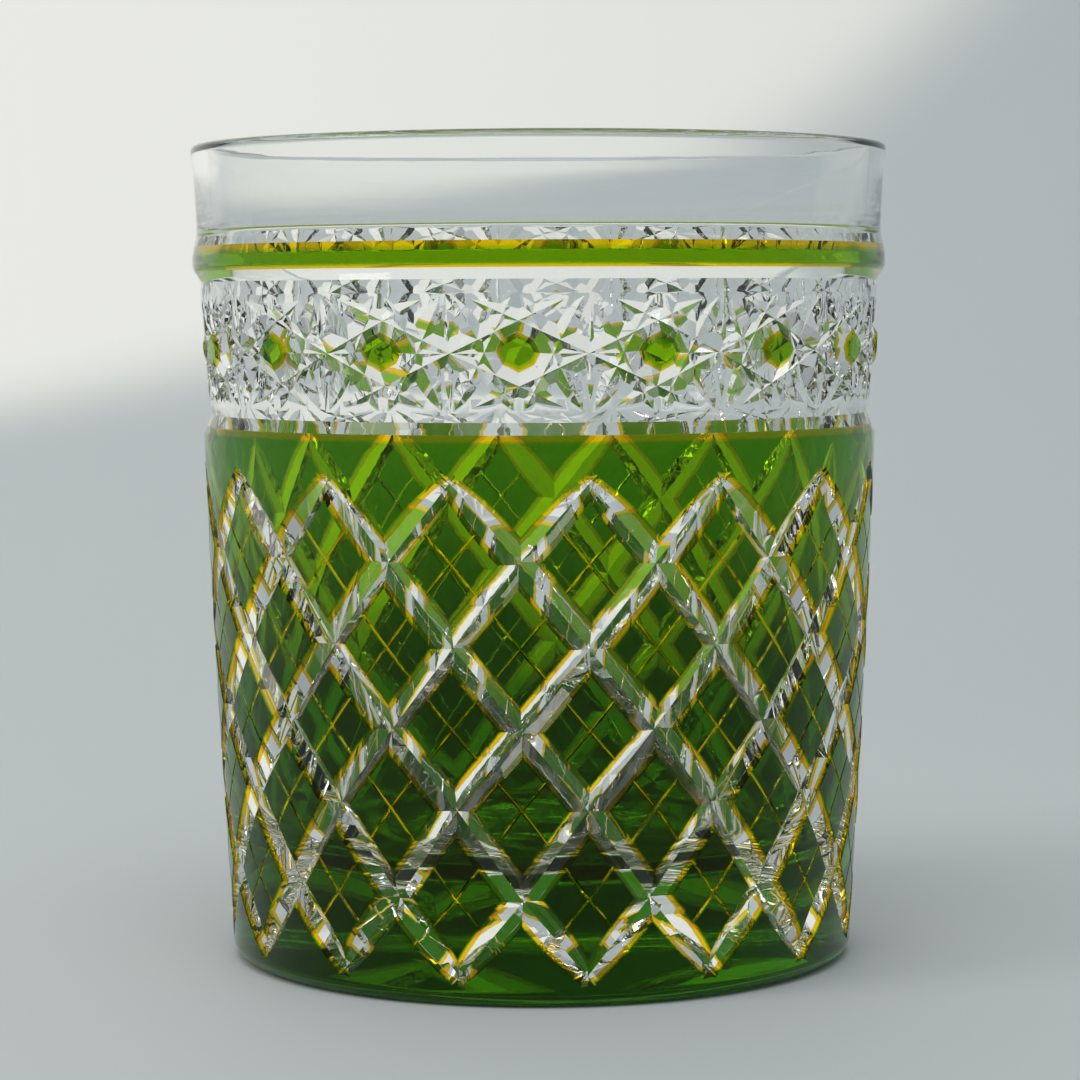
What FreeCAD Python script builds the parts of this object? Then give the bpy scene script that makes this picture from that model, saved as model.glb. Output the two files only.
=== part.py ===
# Whiskey tumbler of cut-to-clear cased glass: a thick clear body under a thin coloured casing,
# through which mitre wheels have cut a lattice, a band of stars and two plain lines. What is
# left of the casing is a set of separate islands of coloured glass, fused to the clear body.
# Millimetres, +Z up, origin at the centre of the base, on the plane that the tumbler stands on.
import FreeCAD, Part
import Sketcher
import math
import os

Vector = FreeCAD.Vector
doc = FreeCAD.newDocument("tumbler")

# Sizes that are set by hand.
DIMENSIONS = (
    # overall
    ("overall_height", 96.5),
    ("rim_radius", 41.45),
    ("foot_radius", 37.2),
    # clear body
    ("rim_wall", 2.0),
    ("lower_wall", 3.9),
    ("base_thickness", 13.0),
    ("cavity_round", 6.0),
    ("lip_round", 0.9),
    ("lip_flare", 0.4),
    ("lip_flare_height", 2.5),
    ("foot_bevel", 1.8),
    ("recess_radius", 24.0),
    ("recess_depth", 0.8),
    # coloured casing
    ("casing_thickness", 0.45),
    # bands, from the rim down, and how far each one's radius is inside the rim's
    ("rim_band_height", 10.3),
    ("rim_band_relief", 0.75),
    ("ring_upper_bevel", 2.7),
    ("ring_land", 1.4),
    ("ring_lower_bevel", 1.8),
    ("ring_relief", 0.18),
    ("ring_casing_thickness", 0.23),
    ("plain_strip_height", 1.6),
    ("plain_strip_relief", 1.15),
    ("star_band_height", 13.0),
    ("star_top_relief", 0.7),
    ("star_bottom_relief", 1.6),
    ("star_coat_height", 5.0),
    ("star_coat_bevel", 0.6),
    ("line_height", 2.0),
    ("line_depth", 0.75),
    ("coat_relief", 1.2),
    ("coat_bevel_height", 1.4),
    ("coat_bevel_clear", 0.15),
    # cutting pattern
    ("columns", 16),
    ("lattice_rows", 5),
    ("lattice_top_margin", 5.5),
    ("lattice_foot_margin", 3.4),
    ("mitre_angle", 112.0),
    ("lattice_mitre_depth", 1.3),
    ("lattice_tip_share", 1.6),  # depth of a mitre where its tip meets the next one's, in casings
    ("star_mitre_depth", 1.2),
    ("leaf_mitre_depth", 0.6),
)

FRONT = -math.pi / 2  # the first column faces -Y
# Star cuts, each a slope and a half length in shares of a column's width.
SHALLOW_SLOPE = 0.45
SHALLOW_SPAN = 0.92
STEEP_SLOPE = 1.9
STEEP_SPAN = 0.215
STEEP_OFFSET = 0.25
LEVEL_SPAN = 0.37
LEAF_SPAN = 0.41
# Lattice cuts, in shares of a row: how far they run past the outer crossings, and deepen.
LATTICE_LEAD = 0.15
LATTICE_FADE = 0.65
MITRE_LIFT = 1.0  # how far a cutter stands out of the glass
MITRE_START = 0.05  # how far a cutter's ends are clear of the glass
EDGE_MATCH = 0.001  # tolerance for finding an edge

# Heights and radii that follow from them.
LEVELS = (
    ("bead_top", "overall_height - rim_band_height"),
    ("ring_top", "bead_top - ring_upper_bevel"),
    ("ring_bottom", "ring_top - ring_land"),
    ("bead_bottom", "ring_bottom - ring_lower_bevel"),
    ("star_top", "bead_bottom - plain_strip_height"),
    ("star_bottom", "star_top - star_band_height"),
    ("coat_top", "star_bottom - line_height"),
    ("shoulder", "coat_top - coat_bevel_height"),
    ("rim_band_radius", "rim_radius - rim_band_relief"),
    ("ring_radius", "rim_radius - ring_relief"),
    ("ring_inner_radius", "ring_radius - ring_casing_thickness"),
    ("strip_radius", "rim_radius - plain_strip_relief"),
    ("star_upper_radius", "rim_radius - star_top_relief"),
    ("star_lower_radius", "rim_radius - star_bottom_relief"),
    ("line_radius", "star_lower_radius - line_depth"),
    ("coat_radius", "rim_radius - coat_relief"),
    ("coat_bevel_depth", "casing_thickness + coat_bevel_clear"),
    ("star_middle", "star_bottom + star_band_height / 2"),
    ("star_slope", "(star_upper_radius - star_lower_radius) / star_band_height"),
    ("star_middle_radius", "(star_upper_radius + star_lower_radius) / 2"),
    ("star_coat_taper", "star_slope * star_coat_height / 2"),
    ("star_edge_taper", "star_slope * (star_coat_height / 2 + star_coat_bevel)"),
    # where each bevel leaves the inner face of the casing
    ("ring_inner_top",
     "ring_top + ring_upper_bevel * ring_casing_thickness / (ring_radius - rim_band_radius)"),
    ("ring_inner_bottom",
     "ring_bottom - ring_lower_bevel * ring_casing_thickness / (ring_radius - strip_radius)"),
    ("coat_inner_top", "shoulder + coat_bevel_height * casing_thickness / coat_bevel_depth"),
    ("lattice_tip_depth", "casing_thickness * lattice_tip_share"),
    # inside of the cup
    ("coat_slope", "(coat_radius - foot_radius) / (shoulder - foot_bevel)"),
    ("cavity_floor_radius", "foot_radius + coat_slope * (base_thickness - foot_bevel) - lower_wall"),
)


def make_sheet(name, rows, write):
    """Spreadsheet of one labelled, aliased cell per row."""
    sheet = doc.addObject("Spreadsheet::Sheet", name)
    for row, (alias, content) in enumerate(rows, start=1):
        sheet.set("A%d" % row, alias)
        sheet.set("B%d" % row, write(content))
        sheet.setAlias("B%d" % row, alias)
    doc.recompute()
    return sheet


def reading_dims(formula):
    """Formula cell: names of driving dimensions are read from their own sheet."""
    driving = {alias for alias, _ in DIMENSIONS}
    spaced = formula.replace("(", "( ").replace(")", " )")
    return "=" + " ".join("dims." + word if word in driving else word for word in spaced.split())


dims = make_sheet("dims", DIMENSIONS, str)
levels = make_sheet("levels", LEVELS, reading_dims)


def size(alias):
    """Number in the sheet that holds this alias."""
    sheet = dims if alias in dict(DIMENSIONS) else levels
    return float(sheet.get(alias))


def bound(formula):
    """Expression in which every alias names its own sheet."""
    words = []
    for word in formula.split():
        if word in dict(DIMENSIONS):
            word = "dims." + word
        elif word in dict(LEVELS):
            word = "levels." + word
        words.append(word)
    return " ".join(words)


def value(formula):
    """Number that an expression over the two sheets gives."""
    words = [str(size(word)) if word in dict(DIMENSIONS + LEVELS) else word for word in formula.split()]
    return FreeCAD.Units.Quantity(" ".join(words)).Value


# ---------------------------------------------------------------- turned shapes
def origin_plane(body, role):
    """One of the body's own origin planes."""
    for feature in body.Origin.OriginFeatures:
        if feature.Role == role:
            return feature
    raise ValueError("no plane " + role)


def turned_body(name, outline):
    """Body turned about Z from an outline of (radius, height) expressions."""
    body = doc.addObject("PartDesign::Body", name)
    sketch = body.newObject("Sketcher::SketchObject", name + "_profile")
    sketch.AttachmentSupport = [(origin_plane(body, "XZ_Plane"), "")]
    sketch.MapMode = "FlatFace"
    points = [Vector(value(radius), value(height), 0) for radius, height in outline]
    count = len(points)
    for index in range(count):
        sketch.addGeometry(Part.LineSegment(points[index], points[(index + 1) % count]), False)
    for index in range(count):
        sketch.addConstraint(Sketcher.Constraint("Coincident", index, 2, (index + 1) % count, 1))
    for index, formulas in enumerate(outline):
        for kind, formula, place in zip(("DistanceX", "DistanceY"), formulas, points[index]):
            constraint = sketch.addConstraint(Sketcher.Constraint(kind, -1, 1, index, 1, place))
            if formula != "0":
                sketch.setExpression("Constraints[%d]" % constraint, bound(formula))
    turned = body.newObject("PartDesign::Revolution", name + "_turned")
    turned.Profile = sketch
    turned.ReferenceAxis = (sketch, ["V_Axis"])
    turned.Angle = 360.0
    body.Tip = turned
    doc.recompute()
    return body


def round_edge(body, name, radius, edge_radius, edge_height):
    """Fillet on the circular edge with this radius and height."""
    base = body.Tip
    for number, edge in enumerate(base.Shape.Edges, start=1):
        curve = edge.Curve
        if not isinstance(curve, Part.Circle):
            continue
        off = abs(curve.Radius - value(edge_radius)) + abs(curve.Center.z - value(edge_height))
        if off < EDGE_MATCH:
            fillet = body.newObject("PartDesign::Fillet", name)
            fillet.Base = (base, ["Edge%d" % number])
            fillet.Radius = value(radius)
            fillet.setExpression("Radius", bound(radius))
            body.Tip = fillet
            doc.recompute()
            return
    raise ValueError("no edge for " + name)


def make_clear_blank():
    """Clear body before cutting: its outside is the inner face of the casing."""
    body = turned_body("clear_blank", (
        ("0", "recess_depth + casing_thickness"),
        ("recess_radius", "casing_thickness"),
        ("foot_radius - foot_bevel", "casing_thickness"),
        ("foot_radius - casing_thickness", "foot_bevel"),
        ("coat_radius - casing_thickness", "shoulder"),
        ("coat_radius - casing_thickness", "coat_inner_top"),
        ("coat_radius - coat_bevel_depth", "coat_top"),
        ("line_radius", "coat_top + line_height / 2"),
        ("star_lower_radius - casing_thickness", "star_bottom"),
        ("star_upper_radius - casing_thickness", "star_top"),
        ("strip_radius", "star_top"),
        ("strip_radius", "bead_bottom"),
        ("ring_inner_radius", "ring_inner_bottom"),
        ("ring_inner_radius", "ring_inner_top"),
        ("rim_band_radius", "bead_top"),
        ("rim_radius - lip_flare", "overall_height - lip_flare_height"),
        ("rim_radius", "overall_height"),
        ("rim_radius - rim_wall", "overall_height"),
        ("cavity_floor_radius", "base_thickness"),
        ("0", "base_thickness"),
    ))
    round_edge(body, "cavity_fillet", "cavity_round", "cavity_floor_radius", "base_thickness")
    round_edge(body, "lip_outer_fillet", "lip_round", "rim_radius", "overall_height")
    round_edge(body, "lip_inner_fillet", "lip_round", "rim_radius - rim_wall", "overall_height")
    return body


def make_coat_blank():
    """Casing over the lattice, the foot and the underside, before cutting."""
    return turned_body("coat_blank", (
        ("0", "recess_depth"),
        ("recess_radius", "0"),
        ("foot_radius - foot_bevel", "0"),
        ("foot_radius", "foot_bevel"),
        ("coat_radius", "shoulder"),
        ("coat_radius - casing_thickness", "coat_inner_top"),
        ("coat_radius - casing_thickness", "shoulder"),
        ("foot_radius - casing_thickness", "foot_bevel"),
        ("foot_radius - foot_bevel", "casing_thickness"),
        ("recess_radius", "casing_thickness"),
        ("0", "recess_depth + casing_thickness"),
    ))


def make_star_blank():
    """Casing over the star band, before cutting."""
    return turned_body("star_blank", (
        ("star_middle_radius - star_edge_taper - casing_thickness",
         "star_middle - star_coat_height / 2 - star_coat_bevel"),
        ("star_middle_radius - star_coat_taper", "star_middle - star_coat_height / 2"),
        ("star_middle_radius + star_coat_taper", "star_middle + star_coat_height / 2"),
        ("star_middle_radius + star_edge_taper - casing_thickness",
         "star_middle + star_coat_height / 2 + star_coat_bevel"),
    ))


def make_ring_casing():
    """Coloured ring on the bead under the rim band, bevelled above and below."""
    return turned_body("ring_casing", (
        ("ring_inner_radius", "ring_inner_bottom"),
        ("ring_radius", "ring_bottom"),
        ("ring_radius", "ring_top"),
        ("ring_inner_radius", "ring_inner_top"),
    ))


# ---------------------------------------------------------------- mitre cuts
def coat_skin(height):
    """Outer radius of the casing on the lattice."""
    return size("foot_radius") + size("coat_slope") * (height - size("foot_bevel"))


def star_skin(height):
    """Outer radius of the casing on the star band."""
    return size("star_middle_radius") + size("star_slope") * (height - size("star_middle"))


def mitre_cut(path, skin):
    """Solid that a V-edged wheel takes out along a path of (angle, height, depth) on a skin."""
    spread = math.tan(math.radians(size("mitre_angle") / 2))
    places = []
    for angle, height, depth in path:
        outward = Vector(math.cos(angle), math.sin(angle), 0)
        places.append((outward, outward * skin(height) + Vector(0, 0, height), depth))
    rings = []
    for index, (outward, place, depth) in enumerate(places):
        before = places[max(index - 1, 0)][1]
        after = places[min(index + 1, len(places) - 1)][1]
        across = outward.cross(after - before).normalize()
        rise = depth + MITRE_LIFT
        bottom = place - outward * depth
        rings.append((
            bottom,
            bottom + (outward + across * spread) * rise,
            bottom + (outward - across * spread) * rise,
        ))
    faces = [triangle(*rings[0]), triangle(*rings[-1])]
    for ring, following in zip(rings, rings[1:]):
        for side in range(3):
            left, right = side, (side + 1) % 3
            faces.append(triangle(ring[left], following[left], following[right]))
            faces.append(triangle(ring[left], following[right], ring[right]))
    solid = Part.Solid(Part.Shell(faces))
    if solid.Volume < 0:
        solid.reverse()
    return solid


def triangle(first, second, third):
    """Flat face on three points."""
    return Part.Face(Part.makePolygon([first, second, third, first]))


def lattice_rows():
    """Heights of the rows of crossings, from the top one down."""
    top = size("coat_top") - size("lattice_top_margin")
    steps = int(size("lattice_rows")) + 1
    drop = (top - size("lattice_foot_margin")) / steps
    return [top - drop * row for row in range(steps + 1)]


def lattice_cuts(side):
    """One mitre per column, running down the coat to one side across the whole lattice."""
    columns = int(size("columns"))
    rows = lattice_rows()
    steps = len(rows) - 1
    cuts = []
    for column in range(columns):
        path = []
        for travel in [-LATTICE_LEAD, 0, 0.5, *range(1, steps), steps - 0.5, steps, steps + LATTICE_LEAD]:
            angle = FRONT + math.tau * (column + side * travel / 2) / columns
            height = rows[0] + (rows[-1] - rows[0]) * travel / steps
            path.append((angle, height, lattice_depth(min(travel, steps - travel))))
        cuts.append(mitre_cut(path, coat_skin))
    return cuts


def lattice_depth(from_end):
    """Depth of a lattice mitre at this many rows from its outer crossing."""
    tip = size("lattice_tip_depth")
    if from_end < 0:
        return faded(tip, -from_end / LATTICE_LEAD)
    left = max(1 - from_end / LATTICE_FADE, 0)
    full = size("lattice_mitre_depth")
    return full - (full - tip) * left ** 2


def star_cuts(centre, slope, half_span, depth, pieces):
    """One straight mitre per column on the star band; lengths are shares of a column's width."""
    columns = int(size("columns"))
    pitch = math.tau * size("star_middle_radius") / columns
    cuts = []
    for column in range(columns):
        path = []
        for piece in range(pieces + 1):
            place = 2 * piece / pieces - 1
            angle = FRONT + math.tau * (column + centre + place * half_span * slope[0]) / columns
            height = size("star_middle") + place * half_span * slope[1] * pitch
            path.append((angle, height, faded(depth, place ** 4)))
        cuts.append(mitre_cut(path, star_skin))
    return cuts


def faded(depth, loss):
    """Depth of a mitre where it has lost this share of it, just clear of the glass at 1."""
    return depth - (depth + MITRE_START) * loss


def make_cutters():
    """Families of mitres, each of cuts that don't cross each other."""
    star = size("star_mitre_depth")
    leaf = size("leaf_mitre_depth")
    families = [
        lattice_cuts(1) + star_cuts(0, (1, SHALLOW_SLOPE), SHALLOW_SPAN, star, 4),
        lattice_cuts(-1) + star_cuts(0, (1, -SHALLOW_SLOPE), SHALLOW_SPAN, star, 4),
        star_cuts(0, (1, 0), LEVEL_SPAN, star, 2),
        star_cuts(0, (0, 1), LEAF_SPAN, leaf, 2),
    ]
    for offset in (STEEP_OFFSET, -STEEP_OFFSET):
        for steep in (STEEP_SLOPE, -STEEP_SLOPE):
            families.append(star_cuts(offset, (1, steep), STEEP_SPAN, star, 2))
    cutters = []
    for number, family in enumerate(families, start=1):
        cutter = doc.addObject("Part::Feature", "mitres_%d" % number)
        cutter.Shape = Part.makeCompound(family)
        cutters.append(cutter)
    return cutters


def cut_away(name, blank, cutters):
    """Blank with every family of mitres taken out, one boolean after the other."""
    base = blank
    for number, cutter in enumerate(cutters, start=1):
        cut = doc.addObject("Part::Cut", "%s_cut_%d" % (name, number))
        cut.Base = base
        cut.Tool = cutter
        cut.Refine = False
        base = cut
    doc.recompute()
    return base


# ---------------------------------------------------------------- islands of casing
def make_islands(label, solids):
    """Node of separate solids of casing glass."""
    node = doc.addObject("Part::Feature", label)
    node.Label = label
    node.Shape = Part.makeCompound(solids)
    return node


def largest(solids, count):
    """The biggest solids of a set."""
    return sorted(solids, key=lambda solid: solid.Volume)[-count:]


def sort_coat(coat):
    """Foot, collar and rows of diamonds, told apart by height."""
    rows = lattice_rows()
    solids = sorted(coat.Shape.Solids, key=lambda solid: solid.BoundBox.ZMax)
    nodes = [make_islands("base_casing", solids[:1]), make_islands("lattice_collar", solids[-1:])]
    half_row = (rows[0] - rows[1]) / 2
    for number, level in enumerate(rows[1:-1], start=1):
        row = [solid for solid in solids[1:-1] if abs(solid.CenterOfMass.z - level) < half_row]
        nodes.append(make_islands("diamonds_row_%d" % number, row))
    return nodes


# ---------------------------------------------------------------- the tumbler
clear_blank = make_clear_blank()
coat_blank = make_coat_blank()
star_blank = make_star_blank()
cutters = make_cutters()
clear_body = cut_away("clear", clear_blank, cutters)
clear_body.Label = "clear_body"
nodes = [clear_body, make_ring_casing()]
nodes += sort_coat(cut_away("coat", coat_blank, cutters[:2]))
star_casing = cut_away("star", star_blank, cutters)
nodes.append(make_islands("star_buttons", largest(star_casing.Shape.Solids, int(size("columns")))))
doc.recompute()

for feature in doc.Objects:
    if "Invalid" in feature.State or "Error" in feature.State:
        raise RuntimeError("failed: " + feature.Name)
for node in nodes:
    if node.Shape.isNull() or not node.Shape.isValid():
        raise RuntimeError("no valid shape: " + node.Label)

os.makedirs("parts", exist_ok=True)
for node in nodes:
    node.Shape.exportStep("parts/%s.step" % node.Label)
    print(node.Label, len(node.Shape.Solids), "solids", round(node.Shape.Volume, 1), "mm3")
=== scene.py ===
import math
import random

import bmesh
import bpy
from mathutils import Matrix, Vector


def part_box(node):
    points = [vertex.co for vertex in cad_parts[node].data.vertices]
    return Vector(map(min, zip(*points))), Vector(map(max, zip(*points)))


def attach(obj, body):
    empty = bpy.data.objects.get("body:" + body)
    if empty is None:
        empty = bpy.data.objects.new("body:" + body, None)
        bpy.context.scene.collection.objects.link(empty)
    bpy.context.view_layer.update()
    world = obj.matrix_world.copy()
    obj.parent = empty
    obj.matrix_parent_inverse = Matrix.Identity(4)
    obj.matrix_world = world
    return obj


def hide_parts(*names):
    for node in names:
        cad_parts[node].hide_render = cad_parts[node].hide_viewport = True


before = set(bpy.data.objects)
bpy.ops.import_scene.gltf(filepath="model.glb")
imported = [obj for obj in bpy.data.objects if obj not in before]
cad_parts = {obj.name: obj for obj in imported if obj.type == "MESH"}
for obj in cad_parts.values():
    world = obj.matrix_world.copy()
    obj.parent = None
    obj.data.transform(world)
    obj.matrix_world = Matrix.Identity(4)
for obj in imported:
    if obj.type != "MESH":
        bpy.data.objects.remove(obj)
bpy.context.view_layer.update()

# ------------------------------------------------------------------ clear body
# A thick tumbler of clear crystal, blown in a mould and let down in diameter towards the foot.
# The outside is turned true, the coloured casing lies on it, and the cutter's wheels then go
# through the casing into this body, so its wall carries every mitre of the pattern.
MM = 0.001
FRONT = -math.pi / 2
COLUMNS = 16
TURN_STEPS = 256
SOFT_TURN = math.radians(12)

rim_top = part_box("clear_body")[1][2] / MM
rim_radius = 41.45
rim_wall = 2.0
rim_relief = 0.75
lip_round = 0.9
ring_low = rim_top - 14.83
ring_high = rim_top - 11.91
ring_seat = rim_radius - 0.41
button_low, button_high = (corner[2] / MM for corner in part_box("star_buttons"))

casing = 0.45
fused_gap = 0.01
star_middle = (button_low + button_high) / 2
star_half = 6.5
star_coat_half = 2.5
star_coat_bevel = 0.6
low_coat = star_middle - star_coat_half
high_coat = star_middle + star_coat_half
star_top = star_middle + star_half
star_bottom = star_middle - star_half
coat_top = star_bottom - 2.0
shoulder = coat_top - 1.4
coat_edge = shoulder + 1.05
bead_top = rim_top - 10.3
bead_bottom = star_top + 1.6
strip_radius = rim_radius - 1.15
foot_edge = 2.0
foot_skin = 37.15
shoulder_skin = 40.1
coat_swell = 0.25
coat_heights = range(5, 62, 4)
recess_radius = 24
recess_depth = 0.8
button_reach = 2.4
floor_of_cup = 13.0
cup_floor_radius = 33.9
cup_floor_round = 6
hand = random.Random(16)


def coat_skin(height):
    """Outer radius of the casing over the lattice: a slow swell from the foot to the shoulder."""
    rise = (height - foot_edge) / (shoulder - foot_edge)
    return foot_skin + (shoulder_skin - foot_skin) * rise + coat_swell * 4 * rise * (1 - rise)


def star_skin(height):
    """Outer radius of the casing over the star band."""
    radius_at_middle = 40.3
    slope = 0.07
    return radius_at_middle + slope * (height - star_middle)


def new_piece(name, bm, *materials):
    """Object at the origin with this mesh, in its place, and these materials."""
    mesh = bpy.data.meshes.new(name)
    bm.to_mesh(mesh)
    bm.free()
    for material in materials:
        mesh.materials.append(material)
    piece = bpy.data.objects.new(name, mesh)
    bpy.context.scene.collection.objects.link(piece)
    return piece


def turned(corners):
    """Closed shape turned about Z from a chain of (radius, height, rounding) corners."""
    bm = bmesh.new()
    chain = [bm.verts.new((radius * MM, 0, height * MM)) for radius, height, _ in corners]
    ring = chain + chain[:1] if corners[0][0] else chain
    for start, end in zip(ring, ring[1:]):
        bm.edges.new((start, end))
    for vert, (_, _, rounding) in zip(chain, corners):
        if rounding:
            bmesh.ops.bevel(bm, geom=[vert], offset=rounding * MM, offset_type="OFFSET",
                            affect="VERTICES", segments=10, profile=0.5, material=-1)
    bmesh.ops.spin(bm, geom=bm.verts[:] + bm.edges[:], cent=(0, 0, 0), axis=(0, 0, 1),
                   angle=math.tau, steps=TURN_STEPS, use_merge=True)
    bmesh.ops.remove_doubles(bm, verts=bm.verts, dist=1e-7)
    bmesh.ops.recalc_face_normals(bm, faces=bm.faces)
    return bm


def wheel_cut(bm, path, skin, spread):
    """Wedge that a V-edged wheel takes out along a path of (angle, height, depth) on a skin."""
    lift = 1.0
    places = [Vector((math.cos(angle) * skin(height), math.sin(angle) * skin(height), height))
              for angle, height, _ in path]
    last = len(path) - 1
    face = None
    for step, (angle, _, depth) in enumerate(path):
        outward = Vector((math.cos(angle), math.sin(angle), 0))
        travel = places[min(step + 1, last)] - places[max(step - 1, 0)]
        across = outward.cross(travel).normalized() * spread
        bottom = places[step] - outward * depth
        section = (bottom, bottom + (outward + across) * (depth + lift),
                   bottom + (outward - across) * (depth + lift))
        if face is None:
            face = bm.faces.new([bm.verts.new(corner * MM) for corner in section])
            continue
        grown = bmesh.ops.extrude_face_region(bm, geom=[face])["geom"]
        if step > 1:
            bm.faces.remove(face)
        face = next(part for part in grown if isinstance(part, bmesh.types.BMFace))
        for vert, corner in zip(face.verts, section):
            vert.co = corner * MM


def lattice_path(column, side, start, end, depth, tip, lead, fade, slip):
    """Path down the lattice: one column's half width to the side for each row."""
    rows = lattice_rows
    steps = 12 * (len(rows) - 1)
    clear_of_skin = 0.05
    path = []
    for step in range(steps + 1):
        travel = start - lead + (end - start + 2 * lead) * step / steps
        row = min(max(int(travel), 0), len(rows) - 2)
        height = rows[row] + (rows[row + 1] - rows[row]) * (travel - row)
        angle = FRONT + math.tau * (column + side * travel / 2) / COLUMNS + slip
        from_end = min(travel - start, end - travel)
        if from_end < 0:
            here = tip + (tip + clear_of_skin) * from_end / lead
        else:
            here = depth - (depth - tip) * max(1 - from_end / fade, 0) ** 2
        path.append((angle, height, here))
    return path


def star_path(column, centre, run, rise, depth):
    """Straight path across the star band; runs are in shares of a column's width."""
    pitch = math.tau * star_skin(star_middle) / COLUMNS
    steps = 16
    steepness = 4
    clear_of_skin = 0.05
    path = []
    for step in range(steps + 1):
        place = 2 * step / steps - 1
        angle = FRONT + math.tau * (column + centre + place * run) / COLUMNS
        loss = abs(place) ** steepness
        height = star_middle + place * rise * pitch
        path.append((angle, height, depth - (depth + clear_of_skin) * loss))
    return path


def node(material, kind, **inputs):
    """Shader node with plain values on its own sockets."""
    made = material.node_tree.nodes.new(kind)
    for name, value in inputs.items():
        made.inputs[name.replace("_", " ")].default_value = value
    return made


def blank_material(name):
    """Node material with nothing but its output."""
    material = bpy.data.materials.new(name)
    material.use_nodes = True
    material.node_tree.nodes.clear()
    return material, node(material, "ShaderNodeOutputMaterial")


def glass_surface(material, color, stretch, depth):
    """Polished glass whose surface is very slightly uneven, in a grain of this stretch."""
    link = material.node_tree.links.new
    glass = node(material, "ShaderNodeBsdfPrincipled", Base_Color=color, Roughness=0.0,
                 IOR=1.52, Transmission_Weight=1.0)
    place = node(material, "ShaderNodeTexCoord")
    mapping = node(material, "ShaderNodeMapping", Scale=stretch)
    noise = node(material, "ShaderNodeTexNoise", Scale=1.0, Detail=2.0)
    bump = node(material, "ShaderNodeBump", Strength=1.0, Distance=depth * MM)
    link(place.outputs["Object"], mapping.inputs["Vector"])
    link(mapping.outputs["Vector"], noise.inputs["Vector"])
    link(noise.outputs["Fac"], bump.inputs["Height"])
    link(bump.outputs["Normal"], glass.inputs["Normal"])
    return glass


crystal, crystal_out = blank_material("polished_crystal")
skin_glass = glass_surface(crystal, (0.985, 0.995, 0.99, 1), (60, 60, 420), 0.012)
crystal.node_tree.links.new(skin_glass.outputs["BSDF"], crystal_out.inputs["Surface"])

cut_crystal, cut_crystal_out = blank_material("wheel_cut_crystal")
cut_glass = glass_surface(cut_crystal, (0.99, 1.0, 0.995, 1), (350, 350, 350), 0.012)
cut_crystal.node_tree.links.new(cut_glass.outputs["BSDF"], cut_crystal_out.inputs["Surface"])

fused_face, fused_out = blank_material("fused_face")
fused = node(fused_face, "ShaderNodeBsdfTransparent", Color=(1, 1, 1, 1))
fused_face.node_tree.links.new(fused.outputs["BSDF"], fused_out.inputs["Surface"])
three_faces = (crystal, cut_crystal, fused_face)

# Rows of crossings of the lattice, and the wheel's edge for its mitres and for the fine hatching.
lattice_rows = (58.2, 49.4, 40.0, 30.9, 22.1, 12.0, 3.4)
MITRE = math.tan(math.radians(56))
HATCH = math.tan(math.radians(40))
mitre_depth = 1.3
mitre_tip_depth = 1.6 * casing
hatch_depth = 0.24
last_row = len(lattice_rows) - 1
unevenness = 0.25

lattice_wheels = []
for side in (1, -1):
    bm = bmesh.new()
    for column in range(COLUMNS):
        slip = math.radians(hand.uniform(-unevenness, unevenness))
        depth = mitre_depth * hand.uniform(0.94, 1.06)
        path = lattice_path(column, side, 0, last_row, depth, mitre_tip_depth, 0.12, 0.65, slip)
        wheel_cut(bm, path, coat_skin, MITRE)
    lattice_wheels.append(new_piece("lattice_wheel", bm))

hatch_wheels = []
for side in (1, -1):
    bm = bmesh.new()
    for column in range(COLUMNS):
        slip = math.radians(hand.uniform(-unevenness, unevenness))
        path = lattice_path(column + side / 2, side, 0.5, last_row - 0.5, hatch_depth, 0, 0.02, 0.15, slip)
        wheel_cut(bm, path, coat_skin, HATCH)
    hatch_wheels.append(new_piece("hatch_wheel", bm))

# The star: two long shallow rays, four short steep ones, a level one and an upright leaf, each
# given by its centre, run, rise and depth.
long_run = 0.92
long_rise = long_run * 0.45
long_depth = 1.35
short_run = 0.23
short_rise = short_run * 1.9
short_depth = 1.3
star_wheels = []
for centre, run, rise, depth in (
    (0, long_run, long_rise, long_depth),
    (0, long_run, -long_rise, long_depth),
    (0.25, short_run, short_rise, short_depth),
    (-0.25, short_run, short_rise, short_depth),
    (0.25, short_run, -short_rise, short_depth),
    (-0.25, short_run, -short_rise, short_depth),
    (0, 0.37, 0, 1.2),
    (0, 0, 0.42, 0.7),
):
    bm = bmesh.new()
    for column in range(COLUMNS):
        wheel_cut(bm, star_path(column + hand.uniform(-0.008, 0.008), centre, run, rise, depth),
                  star_skin, MITRE)
    star_wheels.append(new_piece("star_wheel", bm))
for wheel in lattice_wheels + hatch_wheels + star_wheels:
    closing = bmesh.new()
    closing.from_mesh(wheel.data)
    bmesh.ops.recalc_face_normals(closing, faces=closing.faces)
    closing.to_mesh(wheel.data)
    closing.free()
    for material in three_faces:
        wheel.data.materials.append(material)
    for face in wheel.data.polygons:
        face.material_index = 1


def cut_out(piece, wheels):
    """Takes the wheels' wedges out of the piece, one family after the other."""
    for wheel in wheels:
        cut = piece.modifiers.new("cut", "BOOLEAN")
        cut.operation = "DIFFERENCE"
        cut.solver = "MANIFOLD"
        cut.object = wheel
        cut_mesh = bpy.data.meshes.new_from_object(
            piece.evaluated_get(bpy.context.evaluated_depsgraph_get()))
        piece.modifiers.clear()
        piece.data = cut_mesh


def polish(piece):
    """Smooth faces that meet in a crisp edge wherever the surface turns sharply."""
    piece.data.shade_smooth()
    piece.data.set_sharp_from_angle(angle=SOFT_TURN)


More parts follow.
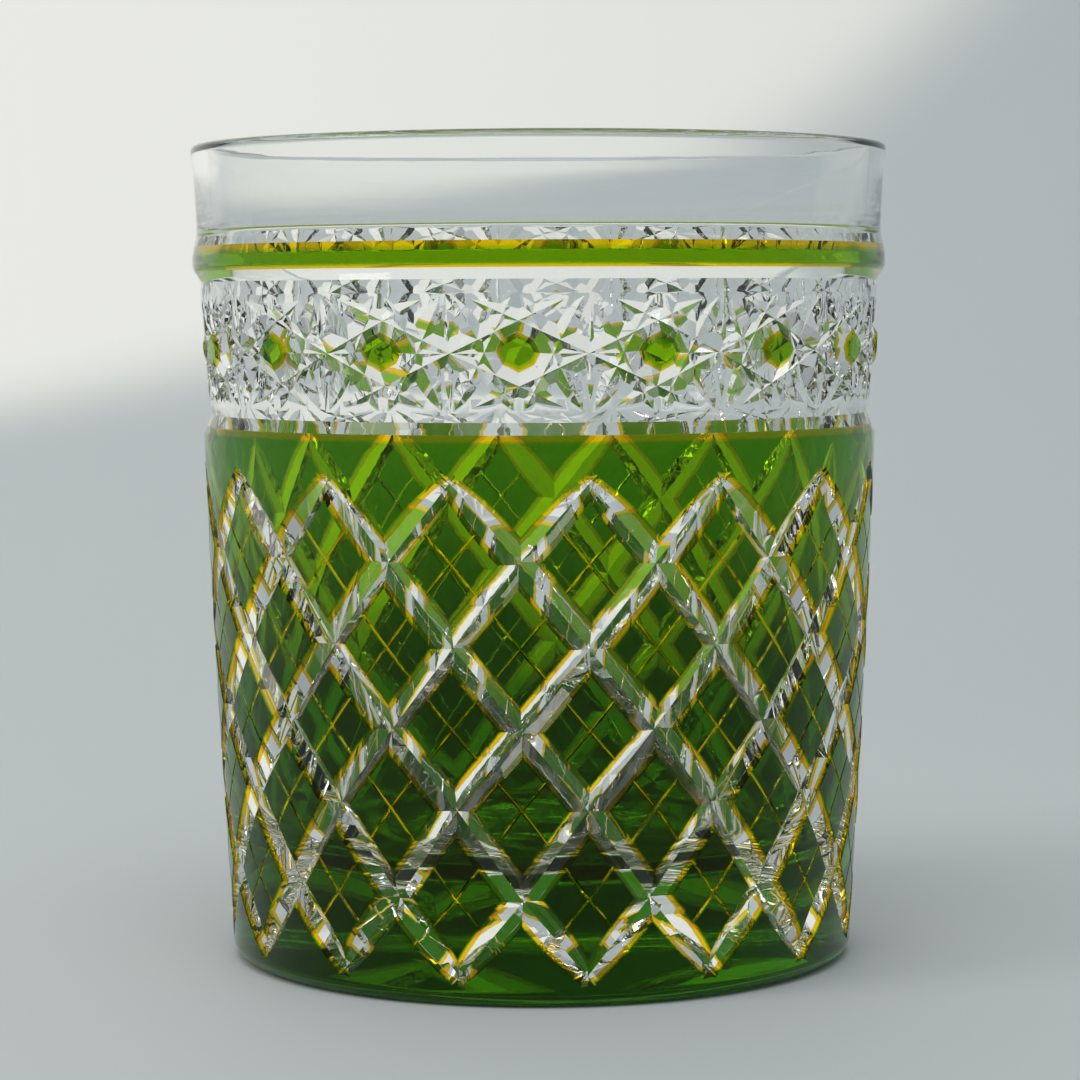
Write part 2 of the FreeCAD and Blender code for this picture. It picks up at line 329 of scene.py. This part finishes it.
coat_inside = [(coat_skin(height) - casing, height, 0) for height in coat_heights]
body_bm = turned([
    (0, recess_depth + casing, 0),
    (recess_radius, casing, 0),
    (coat_skin(foot_edge) - casing, casing, foot_edge - casing),
    *coat_inside,
    (coat_skin(shoulder) - casing, coat_edge, 0),
    (coat_skin(shoulder) - casing - 0.15, coat_top, 0),
    (39.05, star_bottom - 1.0, 0),
    (star_skin(star_bottom) - casing - 0.05, star_bottom, 0),
    (star_skin(low_coat) - casing, low_coat - star_coat_bevel, 0),
    (star_skin(high_coat) - casing, high_coat + star_coat_bevel, 0),
    (star_skin(star_top) - casing, star_top, 0),
    (strip_radius, star_top + 0.2, 0),
    (strip_radius, bead_bottom, 0),
    (ring_seat, ring_low, 0),
    (ring_seat, ring_high, 0),
    (rim_radius - rim_relief, bead_top, 0.3),
    (rim_radius - 0.55, rim_top - 5, 0),
    (rim_radius - 0.35, rim_top - 2.5, 0),
    (rim_radius, rim_top, lip_round),
    (rim_radius - rim_wall, rim_top, lip_round),
    (cup_floor_radius, floor_of_cup, cup_floor_round),
    (0, floor_of_cup, 0),
])
clear_body = new_piece("cut_clear_body", body_bm, *three_faces)
for face in clear_body.data.polygons:
    centre = face.center / MM
    radius = math.hypot(centre.x, centre.y)
    outside = face.normal.x * centre.x + face.normal.y * centre.y > 0 and radius > cup_floor_radius
    under_coat = centre.z < coat_edge
    under_ring = ring_low < centre.z < ring_high
    if centre.z < foot_edge or outside and (under_coat or under_ring):
        face.material_index = 2
cut_out(clear_body, lattice_wheels + star_wheels)
for face in clear_body.data.polygons:
    centre = face.center / MM
    if face.material_index == 0 and abs(centre.z - star_middle) < button_reach:
        column = (math.atan2(centre.y, centre.x) - FRONT) / math.tau * COLUMNS
        aside = (column % 1 - 0.5) * math.tau / COLUMNS * strip_radius
        if math.hypot(aside, centre.z - star_middle) < button_reach and face.normal.dot(centre) > 0:
            face.material_index = 2
polish(clear_body)
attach(clear_body, "root")
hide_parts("clear_body")


# ------------------------------------------------------------------ ring
# Band of the green casing left standing on the bead under the rim. The casing is two thin
# layers, amber inside and green outside, so a bevel ground through it shows an amber line.

# Colours of the casing where it is uncut, cut part of the way, and ground down to the crystal, each
# squared because the shader tints light by the root. The last is painted shade that darkens the green
# towards the foot.
GREEN = (0.05, 0.235, 0.0, 1)
OLIVE = (0.24, 0.26, 0.0, 1)
AMBER = (0.80, 0.34, 0.0, 1)
PALE_AMBER = (0.95, 0.75, 0.25, 1)
# Painted shade: a tint that darkens the uncut green towards the foot.
PAINTED_SHADE_TINT = (0.02, 0.12, 0.4, 1)


def casing_material():
    """Cased glass coloured by its depth and darkened by painted shade towards the foot, with its fused
    side left unseen.
    """
    material, output = blank_material("green_casing")
    link = material.node_tree.links.new
    glass = glass_surface(material, (1, 1, 1, 1), (120, 120, 120), 0.01)
    depth = node(material, "ShaderNodeAttribute")
    depth.attribute_name = "depth"
    layers = node(material, "ShaderNodeValToRGB")
    ramp = layers.color_ramp
    ramp.elements[0].color = GREEN
    ramp.elements[1].color = AMBER
    ramp.elements[0].position = 0.08
    ramp.elements[1].position = 0.48
    for position, color in ((0.26, OLIVE), (0.95, AMBER), (1.0, PALE_AMBER)):
        ramp.elements.new(position).color = color
    open_side = node(material, "ShaderNodeBsdfTransparent", Color=(1, 1, 1, 1))
    side = node(material, "ShaderNodeAttribute")
    side.attribute_name = "fused"
    mix = node(material, "ShaderNodeMixShader")
    place = node(material, "ShaderNodeTexCoord")
    split = node(material, "ShaderNodeSeparateXYZ")
    height = node(material, "ShaderNodeMapRange")
    green_part = node(material, "ShaderNodeMapRange")
    for span, (start, end, at_start, at_end) in (
        (height, (58 * MM, 36 * MM, 0.0, 1.0)),
        (green_part, (0.1, 0.45, 1.0, 0.0)),
    ):
        span.inputs["From Min"].default_value = start
        span.inputs["From Max"].default_value = end
        span.inputs["To Min"].default_value = at_start
        span.inputs["To Max"].default_value = at_end
    # Painted shade: the uncut green is multiplied darker from 58 mm down, at full strength below 36 mm.
    painted_shade_amount = node(material, "ShaderNodeMath")
    painted_shade_amount.operation = "MULTIPLY"
    painted_shade_mix = material.node_tree.nodes.new("ShaderNodeMix")
    painted_shade_mix.data_type = "RGBA"
    painted_shade_mix.blend_type = "MULTIPLY"
    painted_shade_mix.inputs["B"].default_value = PAINTED_SHADE_TINT
    glass.inputs["Specular Tint"].default_value = (0.45, 0.55, 0.2, 1)
    link(depth.outputs["Fac"], layers.inputs["Fac"])
    link(place.outputs["Object"], split.inputs["Vector"])
    link(split.outputs["Z"], height.inputs["Value"])
    link(depth.outputs["Fac"], green_part.inputs["Value"])
    link(height.outputs["Result"], painted_shade_amount.inputs[0])
    link(green_part.outputs["Result"], painted_shade_amount.inputs[1])
    link(painted_shade_amount.outputs["Value"], painted_shade_mix.inputs["Factor"])
    link(layers.outputs["Color"], painted_shade_mix.inputs["A"])
    link(painted_shade_mix.outputs["Result"], glass.inputs["Base Color"])
    link(side.outputs["Fac"], mix.inputs["Fac"])
    link(glass.outputs["BSDF"], mix.inputs[1])
    link(open_side.outputs["BSDF"], mix.inputs[2])
    link(mix.outputs["Shader"], output.inputs["Surface"])
    return material


green_casing = casing_material()


def true_normals(mesh, skin):
    """Gives the uncut outer faces the normals of the turned skin that they lie on."""
    normals = [(0, 0, 0)] * len(mesh.loops)
    for face in mesh.polygons:
        if face.material_index == 0:
            for corner in face.loop_indices:
                place = mesh.vertices[mesh.loops[corner].vertex_index].co / MM
                if place.z > foot_edge + 0.2:
                    lean = skin(place.z - 0.5) - skin(place.z + 0.5)
                    radius = math.hypot(place.x, place.y)
                    normals[corner] = Vector((place.x / radius, place.y / radius, lean)).normalized()
    mesh.normals_split_custom_set(normals)


def finish_casing(piece, node_name, skin, thickness=casing):
    """Marks the fused side, stores how deep each point lies and hands the piece over."""
    mesh = piece.data
    fused_side = mesh.attributes.new("fused", "FLOAT", "FACE")
    fused_side.data.foreach_set("value", [float(face.material_index == 2) for face in mesh.polygons])
    depths = []
    for vert in mesh.vertices:
        radius = math.hypot(vert.co.x, vert.co.y) / MM
        height = vert.co.z / MM
        below = skin(height) - radius if height > foot_edge else 0
        depths.append(min(max(below / thickness, 0), 1))
    depth = mesh.attributes.new("depth", "FLOAT", "POINT")
    depth.data.foreach_set("value", depths)
    polish(piece)
    if thickness >= casing:
        true_normals(mesh, skin)
    mesh.polygons.foreach_set("material_index", [0] * len(mesh.polygons))
    mesh.materials.clear()
    mesh.materials.append(green_casing)
    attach(piece, "root")
    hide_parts(node_name)


def mark_fused(piece, is_inner):
    """Faces that lie on the crystal get slot 2."""
    for material in three_faces:
        piece.data.materials.append(material)
    for face in piece.data.polygons:
        if is_inner(face.center / MM, face.normal):
            face.material_index = 2


def faces_axis(centre, normal):
    """True for a face that looks towards the tumbler's axis."""
    return normal.x * centre.x + normal.y * centre.y < 0


ring_inner = ring_seat + fused_gap
ring_outer = rim_radius - 0.18
ring_depth = 0.32


def ring_skin(height):
    """Outer radius of the casing on the ring, the same at every height."""
    return ring_outer


ring = new_piece("green_ring", turned([
    (ring_inner, ring_low, 0),
    (ring_outer - 0.02, ring_low + 0.43, 0.08),
    (ring_outer, ring_low + 1.1, 0.5),
    (ring_outer - 0.02, ring_high - 1.09, 0.1),
    (ring_inner, ring_high, 0),
]))
mark_fused(ring, faces_axis)
finish_casing(ring, "ring_casing", ring_skin, ring_depth)

# ------------------------------------------------------------------ star buttons
# What the star cutting leaves of the casing in the clear band: one eight-sided button of
# coloured glass between each two stars, its edge ground down to the crystal all round.
button_least = 3.0
button_depth = 2.0 * casing
star_casing = new_piece("star_casing", turned([
    (star_skin(low_coat) - casing + fused_gap, low_coat - star_coat_bevel, 0),
    (star_skin(low_coat), low_coat, 0),
    (star_skin(high_coat), high_coat, 0),
    (star_skin(high_coat) - casing + fused_gap, high_coat + star_coat_bevel, 0),
]))
mark_fused(star_casing, faces_axis)
cut_out(star_casing, star_wheels)


def islands_of(piece):
    """Sets of vertex numbers, one for each separate island of the piece."""
    bm = bmesh.new()
    bm.from_mesh(piece.data)
    left = set(bm.verts)
    islands = []
    while left:
        front = [left.pop()]
        island = set(front)
        while front:
            vert = front.pop()
            near = {edge.other_vert(vert) for edge in vert.link_edges} & left
            left -= near
            island |= near
            front.extend(near)
        islands.append({vert.index for vert in island})
    bm.free()
    return islands


def keep_islands(piece, name, islands):
    """Copy of the piece with only these islands."""
    kept = set().union(*islands)
    bm = bmesh.new()
    bm.from_mesh(piece.data)
    bm.verts.ensure_lookup_table()
    bmesh.ops.delete(bm, geom=[vert for vert in bm.verts if vert.index not in kept], context="VERTS")
    return new_piece(name, bm, *three_faces)


def spans(piece, island, least):
    """True for an island taller and wider than this."""
    places = [piece.data.vertices[index].co / MM for index in island]
    tall = max(place.z for place in places) - min(place.z for place in places)
    wide = max((one - places[0]).length for one in places)
    return tall > least and wide > least


def height_of(piece, island):
    """Lowest and highest point of an island, in the sizes' own unit."""
    heights = [piece.data.vertices[index].co.z / MM for index in island]
    return min(heights), max(heights)


buttons = [island for island in islands_of(star_casing) if spans(star_casing, island, button_least)]
finish_casing(keep_islands(star_casing, "green_star_buttons", buttons), "star_buttons", star_skin,
              button_depth)

# ------------------------------------------------------------------ collar, diamonds and foot
# The casing over the lattice and the foot. The mitres cut it into a collar, five rows of
# diamonds, each hatched with finer wheel lines, and the foot with the underside.
coat_outside = [(coat_skin(height), height, 0) for height in coat_heights]
coat_inner_side = [(coat_skin(height) - casing + fused_gap, height, 0)
                   for height in reversed(coat_heights)]
coat = new_piece("coat_casing", turned([
    (0, recess_depth, 0),
    (recess_radius, 0, 0),
    (coat_skin(foot_edge), 0, foot_edge),
    *coat_outside,
    (coat_skin(shoulder), shoulder, 0),
    (coat_skin(shoulder) - casing + fused_gap, coat_edge, 0),
    *coat_inner_side,
    (coat_skin(foot_edge) - casing + fused_gap, casing - fused_gap, foot_edge - casing),
    (recess_radius, casing - fused_gap, 0),
    (0, recess_depth + casing - fused_gap, 0),
]))


def inside_coat(centre, normal):
    """True for a face of the coat that lies on the crystal."""
    slant = 0.2
    if centre.z < foot_edge:
        return normal.z > slant or (faces_axis(centre, normal) and normal.z > -slant)
    return faces_axis(centre, normal)


mark_fused(coat, inside_coat)
cut_out(coat, lattice_wheels + hatch_wheels)
rows_of_islands = {}
for island in islands_of(coat):
    low, high = height_of(coat, island)
    if low < foot_edge:
        place = "base_casing"
    elif high > shoulder:
        place = "lattice_collar"
    else:
        middle = (low + high) / 2
        nearest = min(range(1, last_row), key=lambda row: abs(lattice_rows[row] - middle))
        place = "diamonds_row_%d" % nearest
    rows_of_islands.setdefault(place, []).append(island)
for place, islands in sorted(rows_of_islands.items()):
    finish_casing(keep_islands(coat, "green_" + place, islands), place, coat_skin)

for tool in (star_casing, coat, *lattice_wheels, *hatch_wheels, *star_wheels):
    bpy.data.objects.remove(tool)

# ------------------------------------------------------------------ stage, light and camera
# A plain pale sweep of card under and behind the tumbler, soft light from all round, a large
# lamp overhead, a smaller one on the left, and a warm patch of sun on the card behind.
view_turn = math.radians(-8)
card_half = 1.6
card_front = -1.3
card_back = 0.75
card_height = 1.5
card_round = 0.5
under_foot = 0.05
sweep_bm = bmesh.new()
profile = [sweep_bm.verts.new((-card_half, depth, height)) for depth, height in (
    (card_front, 0), (card_back, 0), (card_back, card_height))]
for start, end in zip(profile, profile[1:]):
    sweep_bm.edges.new((start, end))
bmesh.ops.bevel(sweep_bm, geom=[profile[1]], offset=card_round, offset_type="OFFSET",
                affect="VERTICES", segments=32, profile=0.5, material=-1)
grown = bmesh.ops.extrude_edge_only(sweep_bm, edges=sweep_bm.edges[:])["geom"]
far_side = [part for part in grown if isinstance(part, bmesh.types.BMVert)]
bmesh.ops.translate(sweep_bm, vec=(2 * card_half, 0, 0), verts=far_side)
bmesh.ops.translate(sweep_bm, vec=(0, 0, -under_foot * MM), verts=sweep_bm.verts)
bmesh.ops.rotate(sweep_bm, cent=(0, 0, 0), matrix=Matrix.Rotation(view_turn, 3, "Z"),
                 verts=sweep_bm.verts)
bmesh.ops.recalc_face_normals(sweep_bm, faces=sweep_bm.faces)
card, card_out = blank_material("pale_card")
card_surface = node(card, "ShaderNodeBsdfPrincipled", Base_Color=(0.70, 0.745, 0.76, 1), Roughness=0.7)
card.node_tree.links.new(card_surface.outputs["BSDF"], card_out.inputs["Surface"])
sweep = new_piece("sweep", sweep_bm, card)
sweep.data.shade_smooth()

world = bpy.data.worlds.new("room")
world.use_nodes = True
world.node_tree.nodes["Background"].inputs["Color"].default_value = (0.88, 0.94, 0.97, 1)
world.node_tree.nodes["Background"].inputs["Strength"].default_value = 0.35
bpy.context.scene.world = world


def lamp(name, place, aim, width, power, color):
    """Square soft lamp at a place, turned to an aim."""
    light = bpy.data.lights.new(name, "AREA")
    light.shape = "SQUARE"
    light.size = width
    light.energy = power
    light.color = color
    holder = bpy.data.objects.new(name, light)
    holder.location = place
    holder.rotation_euler = (Vector(aim) - Vector(place)).to_track_quat("-Z", "Y").to_euler()
    bpy.context.scene.collection.objects.link(holder)


lamp("ceiling", (-0.2, -0.75, 1.5), (0, -0.1, 0), 1.2, 8.2, (1.0, 1.0, 0.97))
lamp("window", (-1.1, -0.35, 0.8), (0, 0.1, 0.05), 0.5, 3, (1.0, 0.96, 0.9))
sun = bpy.data.lights.new("sun_patch", "SPOT")
sun.energy = 52
sun.color = (1.0, 0.86, 0.7)
sun.spot_size = math.radians(42)
sun.spot_blend = 0.1
sun.shadow_soft_size = 0.02
sun_holder = bpy.data.objects.new("sun_patch", sun)
sun_holder.location = (-0.5, -0.3, 1.4)
sun_aim = Vector((-0.27, 0.75, 0.53)) - sun_holder.location
sun_holder.rotation_euler = sun_aim.to_track_quat("-Z", "Y").to_euler()
bpy.context.scene.collection.objects.link(sun_holder)

scene = bpy.context.scene
scene.cycles.max_bounces = 32
scene.cycles.transmission_bounces = 32
scene.cycles.glossy_bounces = 12
scene.cycles.transparent_max_bounces = 64
scene.cycles.sample_clamp_indirect = 6.0
scene.view_settings.view_transform = "Standard"

camera_distance = 0.400
camera_height = 0.0777
camera_dip = math.radians(4.06)
camera_roll = math.radians(-0.275)
camera = bpy.data.cameras.new("camera")
camera.lens = 111.0
camera.sensor_width = 36.0
camera_holder = bpy.data.objects.new("camera", camera)
scene.collection.objects.link(camera_holder)
camera_holder.matrix_world = (
    Matrix.Rotation(view_turn, 4, "Z")
    @ Matrix.Translation((0, -camera_distance, camera_height))
    @ Matrix.Rotation(math.pi / 2 - camera_dip, 4, "X")
    @ Matrix.Rotation(camera_roll, 4, "Z")
)
scene.camera = camera_holder
